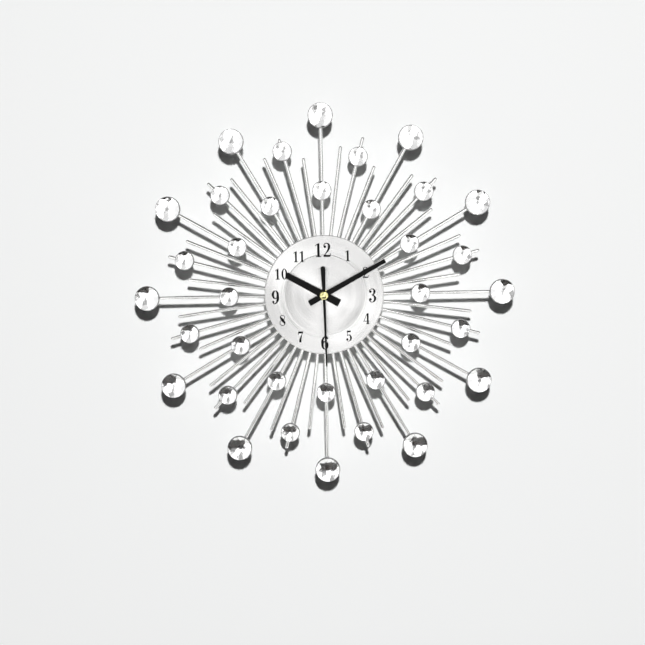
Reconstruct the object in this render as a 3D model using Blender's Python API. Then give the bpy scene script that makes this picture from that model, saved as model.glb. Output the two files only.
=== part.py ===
"""Sunburst wall clock with a spun aluminium dial, welded steel rods and set crystals.

The hands' axis runs along Y and the dial faces -Y. The origin is where that axis meets the wall,
so the clock fills y < 0, and a piece's "depth" is how far it stands off the wall. Plans of flat
pieces are drawn in x and z, and angles on the clock run clockwise from 12 as the viewer sees it.
"""
import math

import bmesh
import bpy
from mathutils import Matrix, Vector

MM = 0.001

# Sunburst: radii and depths in millimetres
HUB_RADIUS = 50.0
HUB_BACK = 17.6
HUB_FRONT = 19.1
ROD_RADIUS = 1.75
ROD_DEPTH = 20.5
ROD_START = 38.0
ROD_COUNT = 48
ROD_SIDES = 6
LONG_ROD_END = 184.0
MEDIUM_ROD_END = 161.5
LONG_PLAIN_END = 149.0
SHORT_PLAIN_END = 138.0
ROD_TIP = 1.0

# Crystals and the cups that hold them
CUP_BACK = 21.95
CUP_FLOOR = 22.75
CUP_WALL = 0.55
GEM_BACK = 23.05
LARGE_CUP = {"radius": 12.5, "front": 24.4, "segments": 16}
SMALL_CUP = {"radius": 9.6, "front": 24.0, "segments": 12}
LARGE_GEM = {"radius": 11.35, "girdle": 1.6, "height": 6.6}
SMALL_GEM = {"radius": 8.45, "girdle": 1.3, "height": 5.2}
LARGE_ORBIT = 178.0
INNER_ORBIT = 98.5
OUTER_ORBIT = 142.5
# The crystals are set by hand: how far each sits off its orbit, from the first one after 12
INNER_SETTING = (-1.0, 1.0, -2.0, 1.0, 2.0, 0.5, 1.0, 0.0, -3.0, 0.5, 5.0, 5.5)
OUTER_SETTING = (-1.0, 0.5, 1.0, -1.5, -1.0, 2.0, 1.5, -1.5, -1.5, 1.5, 1.0, 6.0)

# Dial, nut and hands
DIAL_RADIUS = 59.8
DIAL_BACK = 22.85
DIAL_FRONT = 23.45
DIAL_BAND = 0.2
DIAL_BAND_RADIUS = 39.2
BUSH_RADIUS = 3.6
BUSH_CLEARANCE = 4.0
BUSH_BORE = 2.9
BUSH_FRONT = 25.6
WASHER_BACK = 16.3
WASHER_FRONT = 17.3
WASHER_RADIUS = 10.0
NUT_BACK = 23.75
NUT_FRONT = 25.35
NUT_FLATS = 9.6
HOUR_HAND = {"length": 42.6, "tail": 17.4, "root": 7.6, "tip": 6.0, "back": 25.9, "front": 26.5}
MINUTE_HAND = {"length": 70.0, "tail": 17.0, "root": 5.7, "tip": 4.1, "back": 27.0, "front": 27.6}
HOUR_ANGLE = 299.2
MINUTE_ANGLE = 61.6
SECOND_ANGLE = 179.0
SECOND_BACK = 28.3
SECOND_FRONT = 28.8
SECOND_LENGTH = 71.5
SECOND_TAIL = 29.0
SECOND_END_RADIUS = 2.4
HOUR_PIPE = {"radius": 2.55, "bore": 1.75}
MINUTE_PIPE = {"radius": 1.45, "bore": 0.8}
SECONDS_SHAFT = {"radius": 0.5, "front": 28.9}
PIPE_STAND = 0.3
CAP_RADIUS = 4.45
CAP_BACK = 29.1
CAP_HEIGHT = 1.9
CAP_SKIRT = 0.5

# Movement: a 56 mm square quartz movement for one AA cell
CASE_SIDE = 56.0
CASE_CORNER = 3.0
CASE_DEPTH = 16.0
CASE_WALL = 1.5
CHAMBER_FRONT = 14.5
CHAMBER_BOTTOM = -10.1
BAY_TOP = -11.3
BAY_FRONT = 15.0
COVER_DEPTH = 1.5
FIT = 0.3
BEARING = 0.75
PIVOT = 0.45
THIN_PIVOT = 0.4
PIVOT_BACK = 0.9
PIVOT_FRONT = 15.0
SOCKET_BACK = 0.6
SOCKET_FRONT = 15.3
TAB_BACK = 3.0
TAB_FRONT = 5.0
TAB_TOP = 41.0
TAB_ROOT_HALF_WIDTH = 15.0
TAB_TOP_HALF_WIDTH = 9.0
SLOT_HALF_WIDTH = 6.0
SLOT_BOTTOM = 30.0
SLOT_SHOULDER = 34.0
SLOT_TOP = 37.5
SLOT_TOP_HALF_WIDTH = 3.0
CLIP_WIDTH = 4.0
CLIP_THICKNESS = 1.0
CLIP_REACH = 3.0
UPPER_CLIPS = (-6.0, 14.0)
LOWER_CLIPS = (-18.0, 16.0)
BATTERY_RADIUS = 7.0
BATTERY_HALF_LENGTH = 25.25
BATTERY_DEPTH = 7.5
BATTERY_HEIGHT = -18.9
BATTERY_NIPPLE = {"radius": 2.7, "height": 1.0}
CONTACT_HALF_HEIGHT = 5.0
CONTACT = (3.0, 13.0)
CONTACT_LEAF = 0.4
CONTACT_BEND = 2.0

# Gear levels, as (back, front) depths
LEVEL_1 = (2.3, 3.3)
LEVEL_2 = (4.0, 5.0)
LEVEL_3 = (5.7, 6.7)
LEVEL_4 = (7.4, 8.4)
LEVEL_5 = (9.3, 10.3)
LEVEL_6 = (11.2, 12.2)

# Each pair that meshes, as (teeth, teeth, centre distance)
SECONDS_PAIR = (48, 8, 10.08)
ROTOR_PAIR = (30, 6, 7.2)
THIRD_PAIR = (6, 45, 10.2)
CENTRE_PAIR = (6, 48, 10.2)
MOTION_PAIR = (8, 24, 10.6)
HOUR_PAIR = (8, 32, 10.6)

# Directions from one axis to the next, in degrees from +X towards +Z
INTERMEDIATE_DIRECTION = 0.0
ROTOR_DIRECTION = 60.0
THIRD_DIRECTION = 75.0
MINUTE_WHEEL_DIRECTION = 135.0

MAGNET_RADIUS = 2.5
MAGNET = (7.6, 10.6)
STATOR = (8.7, 9.5)
STATOR_HOLE = 3.1
STATOR_LEFT = 8.4
STATOR_WAIST = 17.8
STATOR_RIGHT = 24.8
STATOR_ARMS = ((-8.0, -4.0), (20.0, 24.0))
COIL_X = 22.6
COIL_CORE = (9.8, 10.6)
COIL_DEPTH = 10.2
COIL_CORE_HALF_WIDTH = 2.0
COIL_CORE_ENDS = (-7.5, 23.5)
COIL_PEGS = (-6.0, 22.0)
COIL_PEG_RADIUS = 1.6
# The winding, then the bobbin's two cheeks, as (radius, bottom, top)
COIL_TURNINGS = ((3.0, -3.0, 19.0), (3.5, -3.6, -2.6), (3.5, 18.6, 19.6))
KNOB_WELL = 6.5
KNOB_WELL_FRONT = 4.2
KNOB_RADIUS = 5.2
KNOB_BACK = 0.4
KNOB_FRONT = 2.6
KNOB_STEM = 0.9
BOARD = (12.9, 13.9)
BOARD_EDGES = (-25.5, -13.0, -9.0, 3.0)
BOARD_CAN_EDGES = (-24.0, -18.0, -7.5, -5.0)
BOARD_CAN_HEIGHT = 1.8
BOARD_CHIP_CENTRE = (-18.5, -1.2)
BOARD_CHIP_RADIUS = 2.4
BOARD_CHIP_HEIGHT = 0.9


def polar(radius, degrees, centre=(0.0, 0.0)):
    """A plan point from an angle that runs from +X towards +Z."""
    turn = math.radians(degrees)
    return (centre[0] + radius * math.cos(turn), centre[1] + radius * math.sin(turn))


def dial_point(radius, degrees):
    """A plan point from an angle on the clock, clockwise from 12."""
    return polar(radius, 90.0 - degrees)


HANDS_AXIS = (0.0, 0.0)
INTERMEDIATE_AXIS = polar(SECONDS_PAIR[2], INTERMEDIATE_DIRECTION)
ROTOR_AXIS = polar(ROTOR_PAIR[2], ROTOR_DIRECTION, INTERMEDIATE_AXIS)
THIRD_AXIS = polar(THIRD_PAIR[2], THIRD_DIRECTION)
MINUTE_WHEEL_AXIS = polar(MOTION_PAIR[2], MINUTE_WHEEL_DIRECTION)
KNOB_AXIS = polar(MOTION_PAIR[2], MINUTE_WHEEL_DIRECTION, MINUTE_WHEEL_AXIS)


def place(x, z, depth):
    """A point in metres from a plan point and a depth in millimetres."""
    return Vector((x, -depth, z)) * MM


def make_material(name, colour, metallic, roughness, transmission=0.0):
    material = bpy.data.materials.new(name)
    material.use_nodes = True
    shader = material.node_tree.nodes["Principled BSDF"]
    shader.inputs["Base Color"].default_value = (*colour, 1.0)
    shader.inputs["Metallic"].default_value = metallic
    shader.inputs["Roughness"].default_value = roughness
    shader.inputs["Transmission Weight"].default_value = transmission
    material.diffuse_color = (*colour, 1.0)
    return material


def link(name, bm, material, axis=HANDS_AXIS, smooth=True):
    """Makes an object whose origin is on its axis at the wall."""
    bmesh.ops.recalc_face_normals(bm, faces=bm.faces)
    mesh = bpy.data.meshes.new(name)
    bm.to_mesh(mesh)
    bm.free()
    if smooth:
        mesh.shade_smooth()
        mesh.set_sharp_from_angle(angle=math.radians(35.0))
    piece = bpy.data.objects.new(name, mesh)
    piece.location = place(axis[0], axis[1], 0.0)
    if material:
        mesh.materials.append(material)
    bpy.context.scene.collection.objects.link(piece)
    return piece


def prism(outline, back, front):
    """A plate with the given outline between two depths."""
    bm = bmesh.new()
    base = bm.faces.new([bm.verts.new(place(x, z, back)) for x, z in outline])
    grown = bmesh.ops.extrude_face_region(bm, geom=[base])
    lift = place(0.0, 0.0, front) - place(0.0, 0.0, back)
    verts = [item for item in grown["geom"] if isinstance(item, bmesh.types.BMVert)]
    bmesh.ops.translate(bm, verts=verts, vec=lift)
    return bm


def circle(radius, segments, centre=(0.0, 0.0), start=0.0):
    return [polar(radius, start + 360.0 * i / segments, centre) for i in range(segments)]


def rounded_box(left, right, bottom, top, corner, steps=3):
    """A rectangle's outline with round corners."""
    middles = (
        (right - corner, top - corner, 0.0),
        (left + corner, top - corner, 90.0),
        (left + corner, bottom + corner, 180.0),
        (right - corner, bottom + corner, 270.0),
    )
    return [
        polar(corner, start + 90.0 * i / steps, (x, z))
        for x, z, start in middles
        for i in range(steps + 1)
    ]


def box(left, right, bottom, top):
    return [(left, bottom), (right, bottom), (right, top), (left, top)]


def turned(profile, segments):
    """A solid of revolution about the piece's axis from (radius, depth) points in a ring.

    A profile that starts and ends on the axis closes itself there.
    """
    bm = bmesh.new()
    rings = []
    for radius, depth in profile:
        if radius == 0.0:
            rings.append([bm.verts.new(place(0.0, 0.0, depth))])
        else:
            rings.append([bm.verts.new(place(x, z, depth)) for x, z in circle(radius, segments)])
    solid = profile[0][0] == 0.0
    for i in range(len(rings) - 1 if solid else len(rings)):
        join(bm, rings[i], rings[(i + 1) % len(rings)], segments)
    return bm


def join(bm, first, second, segments):
    """Faces between two rings, either of which may be a single point."""
    for i in range(segments):
        j = (i + 1) % segments
        a = (first[0],) if len(first) == 1 else (first[i], first[j])
        b = (second[0],) if len(second) == 1 else (second[j], second[i])
        bm.faces.new(a + b)


def boolean(target, operation, members):
    """A modifier that adds or cuts several shapes at once. The shapes are guides, not pieces."""
    group = bpy.data.collections.new(f"{target.name}_{operation.lower()}")
    for member in members:
        group.objects.link(member)
        member.hide_render = True
        member.display_type = "WIRE"
    step = target.modifiers.new(operation.title(), "BOOLEAN")
    step.operation = operation
    step.operand_type = "COLLECTION"
    step.collection = group
    step.solver = "EXACT"


def guide(name, bm, axis=HANDS_AXIS):
    return link(f"guide_{name}", bm, None, axis)


# --- Sunburst frame and crystals -------------------------------------------------------------


def rod_end(index):
    """Where a rod ends: hours are long, half hours medium, and the rest alternate.

    The plain rods are mirrored left to right below 11, and the sector before 12 follows the right.
    """
    if index % 4 == 0:
        return LONG_ROD_END
    if index % 4 == 2:
        return MEDIUM_ROD_END
    after_hour = index % 4 == 1
    mirrored = 24 <= index < 44
    return LONG_PLAIN_END if after_hour != mirrored else SHORT_PLAIN_END


def rod(index):
    """A round rod along its radius, with an eased tip."""
    bm = bmesh.new()
    end = rod_end(index)
    stations = ((ROD_START, 1.0), (end - ROD_TIP, 1.0), (end, 0.5))
    rings = []
    for along, share in stations:
        section = circle(ROD_RADIUS * share, ROD_SIDES)
        rings.append([bm.verts.new(Vector((x, z - ROD_DEPTH, along)) * MM) for x, z in section])
    bm.faces.new(rings[0])
    bm.faces.new(rings[-1])
    for first, second in zip(rings, rings[1:]):
        join(bm, first, second, ROD_SIDES)
    turn = Matrix.Rotation(math.radians(360.0 * index / ROD_COUNT), 4, "Y")
    bmesh.ops.transform(bm, matrix=turn, verts=bm.verts)
    return guide(f"rod_{index:02d}", bm)


def seats():
    """Every crystal's name, clock angle, orbit and size, in order around the clock."""
    for hour in range(1, 13):
        yield f"large_crystal_{hour:02d}", 30.0 * hour, LARGE_ORBIT, LARGE_CUP, LARGE_GEM
    for hour in range(1, 13):
        orbit = INNER_ORBIT + INNER_SETTING[hour - 1]
        yield f"inner_crystal_{hour:02d}", 30.0 * hour, orbit, SMALL_CUP, SMALL_GEM
    for place_number in range(1, 13):
        orbit = OUTER_ORBIT + OUTER_SETTING[place_number - 1]
        angle = 30.0 * place_number - 15.0
        yield f"outer_crystal_{place_number:02d}", angle, orbit, SMALL_CUP, SMALL_GEM


def cup(name, centre, sizes):
    """A shallow round cup with a thin wall, open to the front."""
    inner = sizes["radius"] - CUP_WALL
    profile = (
        (0.0, CUP_BACK),
        (sizes["radius"], CUP_BACK),
        (sizes["radius"], sizes["front"]),
        (inner, sizes["front"]),
        (inner, CUP_FLOOR),
        (0.0, CUP_FLOOR),
    )
    return guide(f"cup_{name}", turned(profile, sizes["segments"]), centre)


def crystal(name, centre, sizes, material):
    """A flat-backed cut crystal: a twelve-sided girdle, a crown of facets and a table."""
    bm = bmesh.new()
    radius = sizes["radius"]
    rings = (
        (radius, 12, 0.0, 0.0),
        (radius, 12, 0.0, sizes["girdle"]),
        (radius * 0.52, 6, 15.0, sizes["height"]),
    )
    for ring_radius, count, start, rise in rings:
        for x, z in circle(ring_radius, count, start=start):
            bm.verts.new(place(x, z, GEM_BACK + rise))
    bmesh.ops.convex_hull(bm, input=bm.verts)
    return link(name, bm, material, centre, smooth=False)


def sunburst_frame(material):
    """The hub disc, the rods welded to its front and the cups welded to the rods: one weldment."""
    frame = ring("sunburst_frame", BUSH_CLEARANCE, HUB_RADIUS, HUB_BACK, HUB_FRONT, 36, material)
    members = [rod(index) for index in range(ROD_COUNT)]
    for name, angle, orbit, cup_sizes, _ in seats():
        members.append(cup(name, dial_point(orbit, angle), cup_sizes))
    boolean(frame, "UNION", members)


def crystals(material):
    for name, angle, orbit, _, gem_sizes in seats():
        crystal(name, dial_point(orbit, angle), gem_sizes, material)


# --- Dial, fixings and hands -----------------------------------------------------------------


def dial(material):
    """A spun disc with a stepped band for the numerals and a rolled edge."""
    band = DIAL_FRONT + DIAL_BAND
    profile = (
        (BUSH_CLEARANCE, DIAL_BACK),
        (DIAL_RADIUS - 0.4, DIAL_BACK),
        (DIAL_RADIUS, DIAL_BACK + 0.25),
        (DIAL_RADIUS - 0.6, band - 0.12),
        (DIAL_RADIUS - 1.8, band),
        (DIAL_BAND_RADIUS + 0.6, band),
        (DIAL_BAND_RADIUS, DIAL_FRONT),
        (BUSH_CLEARANCE, DIAL_FRONT),
    )
    link("dial", turned(profile, 40), material)


def ring(name, inner, outer, back, front, segments, material):
    profile = ((inner, back), (outer, back), (outer, front), (inner, front))
    return link(name, turned(profile, segments), material)


def fixing_nut(material):
    corner = NUT_FLATS / 2.0 / math.cos(math.radians(30.0))
    nut = link("fixing_nut", prism(circle(corner, 6, start=12.0), NUT_BACK, NUT_FRONT), material)
    boolean(nut, "DIFFERENCE", [bore("nut", BUSH_RADIUS + FIT, 23.0, 26.0, 16)])


def bore(name, radius, back, front, segments=12, axis=HANDS_AXIS):
    """A round cutter."""
    return guide(f"bore_{name}", prism(circle(radius, segments), back, front), axis)


def blade(sizes):
    """A straight hand pointing at 12, tapering a little from its blunt tail to its blunt tip."""
    root, tip = sizes["root"] / 2.0, sizes["tip"] / 2.0
    tail, length = -sizes["tail"], sizes["length"]
    return [(-root, tail), (root, tail), (tip, length), (-tip, length)]


def point_at(piece, angle):
    """Turns a hand from 12 to its place on the dial, clockwise as the viewer sees it."""
    piece.rotation_euler = (0.0, math.radians(angle), 0.0)


def hour_and_minute_hands(material):
    for name, sizes, angle, pipe in (
        ("hour_hand", HOUR_HAND, HOUR_ANGLE, HOUR_PIPE),
        ("minute_hand", MINUTE_HAND, MINUTE_ANGLE, MINUTE_PIPE),
    ):
        hand = link(name, prism(blade(sizes), sizes["back"], sizes["front"]), material)
        cutter = bore(name, pipe["radius"] + FIT, sizes["back"] - 1.0, sizes["front"] + 1.0, 16)
        boolean(hand, "DIFFERENCE", [cutter])
        point_at(hand, angle)
        point_at(cutter, angle)


def second_hand(material):
    """A needle with a round-ended counterweight."""
    end = SECOND_END_RADIUS
    middle = end - SECOND_TAIL
    outline = [(-0.7, SECOND_LENGTH), (-1.35, 4.0), (-1.5, -4.0), (-end, middle)]
    outline += [polar(end, degrees, (0.0, middle)) for degrees in (225, 270, 315)]
    outline += [(end, middle), (1.5, -4.0), (1.35, 4.0), (0.7, SECOND_LENGTH)]
    hand = link("second_hand", prism(outline, SECOND_BACK, SECOND_FRONT), material)
    cutter = bore(
        "second_hand", SECONDS_SHAFT["radius"] + FIT, SECOND_BACK - 1.0, SECOND_FRONT + 1.0, 8
    )
    boolean(hand, "DIFFERENCE", [cutter])
    point_at(hand, SECOND_ANGLE)
    point_at(cutter, SECOND_ANGLE)


def second_hand_cap(material):
    """A low dome over the middle of the second hand."""
    rise = [
        (CAP_RADIUS * math.cos(t), CAP_BACK + CAP_SKIRT + (CAP_HEIGHT - CAP_SKIRT) * math.sin(t))
        for t in (0.0, 0.45, 0.9, 1.25)
    ]
    profile = [(0.0, CAP_BACK), (CAP_RADIUS, CAP_BACK), *rise, (0.0, CAP_BACK + CAP_HEIGHT)]
    link("second_hand_cap", turned(profile, 20), material)


# --- Gears -----------------------------------------------------------------------------------


def module(pair):
    return 2.0 * pair[2] / (pair[0] + pair[1])


def gear_outline(teeth, pitch_module, phase=0.0):
    """A gear's outline, with thin straight-sided teeth that leave generous backlash."""
    root = pitch_module * (teeth / 2.0 - 1.0)
    tip = pitch_module * (teeth / 2.0 + 0.75)
    step = 360.0 / teeth
    points = []
    for i in range(teeth):
        middle = phase + i * step
        points += [
            polar(root, middle - 0.25 * step),
            polar(tip, middle - 0.07 * step),
            polar(tip, middle + 0.07 * step),
            polar(root, middle + 0.25 * step),
        ]
    return points


def meshing_phase(direction, teeth, phase, next_teeth):
    """The phase of a gear that meshes with one already placed, which lies against direction."""
    return direction + 180.0 - (180.0 - (direction - phase) * teeth) / next_teeth


def gear(name, teeth, pair, level, phase, axis=HANDS_AXIS):
    return guide(name, prism(gear_outline(teeth, module(pair), phase), *level), axis)


def wheel_piece(name, shaft, members, bores, material, axis=HANDS_AXIS):
    """A shaft or pipe with its wheels on it, made as one moulding."""
    piece = link(name, shaft, material, axis)
    boolean(piece, "UNION", members)
    if bores:
        boolean(piece, "DIFFERENCE", bores)


def seconds_wheel(material):
    shaft = arbor(SECONDS_SHAFT["radius"], SECONDS_SHAFT["front"])
    wheel = gear("seconds_gear", SECONDS_PAIR[0], SECONDS_PAIR, LEVEL_1, 0.0)
    pinion = gear("seconds_pinion", THIRD_PAIR[0], THIRD_PAIR, LEVEL_3, 0.0)
    wheel_piece("seconds_wheel", shaft, [wheel, pinion], [], material)


def intermediate_wheel(material):
    phase = meshing_phase(INTERMEDIATE_DIRECTION, SECONDS_PAIR[0], 0.0, SECONDS_PAIR[1])
    axis = INTERMEDIATE_AXIS
    pinion = gear("intermediate_pinion", SECONDS_PAIR[1], SECONDS_PAIR, LEVEL_1, phase, axis)
    wheel = gear("intermediate_gear", ROTOR_PAIR[0], ROTOR_PAIR, LEVEL_2, 0.0, axis)
    wheel_piece("intermediate_wheel", arbor(THIN_PIVOT), [pinion, wheel], [], material, axis)


def arbor(radius=PIVOT, front=PIVOT_FRONT):
    """A plain shaft from the back cover forwards, as far as the front plate if not told more."""
    profile = ((0.0, PIVOT_BACK), (radius, PIVOT_BACK), (radius, front), (0.0, front))
    return turned(profile, 8)


def rotor(material):
    """The stepping motor's magnet with its pinion."""
    phase = meshing_phase(ROTOR_DIRECTION, ROTOR_PAIR[0], 0.0, ROTOR_PAIR[1])
    pinion = gear("rotor_pinion", ROTOR_PAIR[1], ROTOR_PAIR, LEVEL_2, phase, ROTOR_AXIS)
    magnet = guide("rotor_magnet", prism(circle(MAGNET_RADIUS, 16), *MAGNET), ROTOR_AXIS)
    wheel_piece("rotor", arbor(), [pinion, magnet], [], material, ROTOR_AXIS)


def third_wheel(material):
    phase = meshing_phase(THIRD_DIRECTION, THIRD_PAIR[0], 0.0, THIRD_PAIR[1])
    wheel = gear("third_gear", THIRD_PAIR[1], THIRD_PAIR, LEVEL_3, phase, THIRD_AXIS)
    pinion = gear("third_pinion", CENTRE_PAIR[0], CENTRE_PAIR, LEVEL_4, 0.0, THIRD_AXIS)
    wheel_piece("third_wheel", arbor(), [wheel, pinion], [], material, THIRD_AXIS)


def centre_wheel(material):
    """The wheel that carries the minute hand on its pipe."""
    pipe = prism(circle(MINUTE_PIPE["radius"], 16), LEVEL_4[0], MINUTE_HAND["front"] + PIPE_STAND)
    phase = meshing_phase(THIRD_DIRECTION + 180.0, CENTRE_PAIR[0], 0.0, CENTRE_PAIR[1])
    wheel = gear("centre_gear", CENTRE_PAIR[1], CENTRE_PAIR, LEVEL_4, phase)
    pinion = gear("cannon_pinion", MOTION_PAIR[0], MOTION_PAIR, (LEVEL_4[1] - 0.2, LEVEL_5[1]), 0.0)
    hole = bore("centre_wheel", MINUTE_PIPE["bore"], 7.0, 29.0, 8)
    wheel_piece("centre_wheel", pipe, [wheel, pinion], [hole], material)


def minute_wheel(material):
    phase = meshing_phase(MINUTE_WHEEL_DIRECTION, MOTION_PAIR[0], 0.0, MOTION_PAIR[1])
    wheel = gear("minute_gear", MOTION_PAIR[1], MOTION_PAIR, LEVEL_5, phase, MINUTE_WHEEL_AXIS)
    pinion = gear("minute_pinion", HOUR_PAIR[0], HOUR_PAIR, LEVEL_6, 0.0, MINUTE_WHEEL_AXIS)
    wheel_piece("minute_wheel", arbor(), [wheel, pinion], [], material, MINUTE_WHEEL_AXIS)


def hour_wheel(material):
    """The wheel that carries the hour hand on its pipe."""
    pipe = prism(circle(HOUR_PIPE["radius"], 16), LEVEL_6[0], HOUR_HAND["front"] + PIPE_STAND)
    phase = meshing_phase(MINUTE_WHEEL_DIRECTION + 180.0, HOUR_PAIR[0], 0.0, HOUR_PAIR[1])
    wheel = gear("hour_gear", HOUR_PAIR[1], HOUR_PAIR, LEVEL_6, phase)
    hole = bore("hour_wheel", HOUR_PIPE["bore"], 11.0, 27.0)
    wheel_piece("hour_wheel", pipe, [wheel], [hole], material)


def setting_knob(material):
    """The knob in the back cover that turns the minute wheel to set the time."""
    wheel_phase = meshing_phase(MINUTE_WHEEL_DIRECTION, MOTION_PAIR[0], 0.0, MOTION_PAIR[1])
    phase = meshing_phase(MINUTE_WHEEL_DIRECTION, MOTION_PAIR[1], wheel_phase, MOTION_PAIR[0])
    profile = (
        (0.0, KNOB_BACK),
        (KNOB_RADIUS, KNOB_BACK),
        (KNOB_RADIUS, KNOB_FRONT),
        (KNOB_STEM, KNOB_FRONT),
        (KNOB_STEM, PIVOT_FRONT),
        (0.0, PIVOT_FRONT),
    )
    pinion = gear("knob_pinion", MOTION_PAIR[0], MOTION_PAIR, LEVEL_5, phase, KNOB_AXIS)
    wheel_piece("setting_knob", turned(profile, 16), [pinion], [], material, KNOB_AXIS)


# --- Movement case, motor and battery --------------------------------------------------------


def movement_case(material):
    """The moulded case: gear chamber, battery bay, threaded bush and hanging tab."""
    half = CASE_SIDE / 2.0
    inner = half - CASE_WALL
    shell = prism(rounded_box(-half, half, -half, half, CASE_CORNER), 0.0, CASE_DEPTH)
    case = link("movement_case", shell, material)
    chamber = rounded_box(-inner, inner, CHAMBER_BOTTOM, inner, CASE_CORNER - CASE_WALL, 2)
    bay = rounded_box(-inner, inner, -inner, BAY_TOP, CASE_CORNER - CASE_WALL, 2)
    hollows = [
        guide("chamber", prism(chamber, -1.0, CHAMBER_FRONT)),
        guide("bay", prism(bay, -1.0, BAY_FRONT)),
    ]
    boolean(case, "DIFFERENCE", hollows)
    tab = [
        (-TAB_ROOT_HALF_WIDTH, half - 1.0),
        (TAB_ROOT_HALF_WIDTH, half - 1.0),
        (TAB_TOP_HALF_WIDTH, TAB_TOP),
        (-TAB_TOP_HALF_WIDTH, TAB_TOP),
    ]
    additions = [
        guide("bush", prism(circle(BUSH_RADIUS, 24), CHAMBER_FRONT + 0.5, BUSH_FRONT)),
        guide("tab", prism(tab, TAB_BACK, TAB_FRONT)),
    ]
    for height in COIL_PEGS:
        section = circle(COIL_PEG_RADIUS, 8, (COIL_X, height))
        peg = prism(section, COIL_CORE[1] + FIT, CHAMBER_FRONT + 0.5)
        additions.append(guide("coil_peg", peg))
    boolean(case, "UNION", additions)
    arch = [
        (-SLOT_HALF_WIDTH, SLOT_BOTTOM),
        (SLOT_HALF_WIDTH, SLOT_BOTTOM),
        (SLOT_HALF_WIDTH, SLOT_SHOULDER),
        (SLOT_TOP_HALF_WIDTH, SLOT_TOP),
        (-SLOT_TOP_HALF_WIDTH, SLOT_TOP),
        (-SLOT_HALF_WIDTH, SLOT_SHOULDER),
    ]
    cutters = [
        guide("slot", prism(arch, TAB_BACK - 1.0, TAB_FRONT + 1.0)),
        bore("bush", BUSH_BORE, CHAMBER_FRONT - 1.0, BUSH_FRONT + 1.0, 16),
        bore("knob_socket", KNOB_STEM + FIT, CHAMBER_FRONT - 1.0, SOCKET_FRONT, 8, KNOB_AXIS),
    ]
    for axis in (INTERMEDIATE_AXIS, ROTOR_AXIS, THIRD_AXIS, MINUTE_WHEEL_AXIS):
        cutters.append(bore("front_socket", BEARING, CHAMBER_FRONT - 1.0, SOCKET_FRONT, 8, axis))
    boolean(case, "DIFFERENCE", cutters)


def movement_back_cover(material):
    """The plate that closes the gear chamber, with the knob's well, four clips and the bearings."""
    edge = CASE_SIDE / 2.0 - CASE_WALL - FIT
    bottom = CHAMBER_BOTTOM + FIT
    outline = rounded_box(-edge, edge, bottom, edge, CASE_CORNER - CASE_WALL, 2)
    cover = link("movement_back_cover", prism(outline, 0.0, COVER_DEPTH), material)
    additions = [guide("well", prism(circle(KNOB_WELL, 20), 0.5, KNOB_WELL_FRONT), KNOB_AXIS)]
    spots = [(x, edge - CLIP_THICKNESS) for x in UPPER_CLIPS]
    spots += [(x, bottom) for x in LOWER_CLIPS]
    for x, height in spots:
        section = box(x, x + CLIP_WIDTH, height, height + CLIP_THICKNESS)
        clip = prism(section, COVER_DEPTH - 0.5, COVER_DEPTH + CLIP_REACH)
        additions.append(guide("clip", clip))
    boolean(cover, "UNION", additions)
    cutters = [
        bore("well", KNOB_RADIUS + 0.5, -1.0, 3.0, 20, KNOB_AXIS),
        bore("knob_stem", KNOB_STEM + 0.4, 2.0, 5.0, 8, KNOB_AXIS),
    ]
    for axis in (HANDS_AXIS, INTERMEDIATE_AXIS, ROTOR_AXIS, THIRD_AXIS, MINUTE_WHEEL_AXIS):
        cutters.append(bore("rear_socket", BEARING + 0.1, SOCKET_BACK, 2.5, 8, axis))
    boolean(cover, "DIFFERENCE", cutters)


def stator(material):
    """The motor's iron plate, bored for the rotor and bent round the coil's ends."""
    (bottom, lower), (upper, top) = STATOR_ARMS
    outline = [
        (STATOR_LEFT, bottom),
        (STATOR_RIGHT, bottom),
        (STATOR_RIGHT, lower),
        (STATOR_WAIST, lower),
        (STATOR_WAIST, upper),
        (STATOR_RIGHT, upper),
        (STATOR_RIGHT, top),
        (STATOR_LEFT, top),
    ]
    plate = link("stator", prism(outline, *STATOR), material)
    cutters = [
        bore("stator_rotor", STATOR_HOLE, 8.0, 10.0, 20, ROTOR_AXIS),
        bore("stator_arbor", 0.9, 8.0, 10.0, 8, INTERMEDIATE_AXIS),
    ]
    boolean(plate, "DIFFERENCE", cutters)


def coil(material):
    """The winding on its bobbin, with the iron core that bridges the stator."""
    section = box(COIL_X - COIL_CORE_HALF_WIDTH, COIL_X + COIL_CORE_HALF_WIDTH, *COIL_CORE_ENDS)
    core = link("coil", prism(section, *COIL_CORE), material)
    members = []
    for radius, bottom, top in COIL_TURNINGS:
        bm = bmesh.new()
        centre = Matrix.Translation(place(COIL_X, (bottom + top) / 2.0, COIL_DEPTH))
        bmesh.ops.create_cone(
            bm,
            cap_ends=True,
            segments=16,
            radius1=radius * MM,
            radius2=radius * MM,
            depth=(top - bottom) * MM,
            matrix=centre,
        )
        members.append(guide("coil_part", bm))
    boolean(core, "UNION", members)


def circuit_board(material):
    """The board with the timing crystal's can and the sealed chip on its back."""
    back = BOARD[0]
    board = link("circuit_board", prism(box(*BOARD_EDGES), *BOARD), material)
    can = prism(box(*BOARD_CAN_EDGES), back - BOARD_CAN_HEIGHT, back + 0.3)
    section = circle(BOARD_CHIP_RADIUS, 12, BOARD_CHIP_CENTRE)
    chip = prism(section, back - BOARD_CHIP_HEIGHT, back + 0.3)
    boolean(board, "UNION", [guide("crystal_can", can), guide("chip", chip)])


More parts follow.
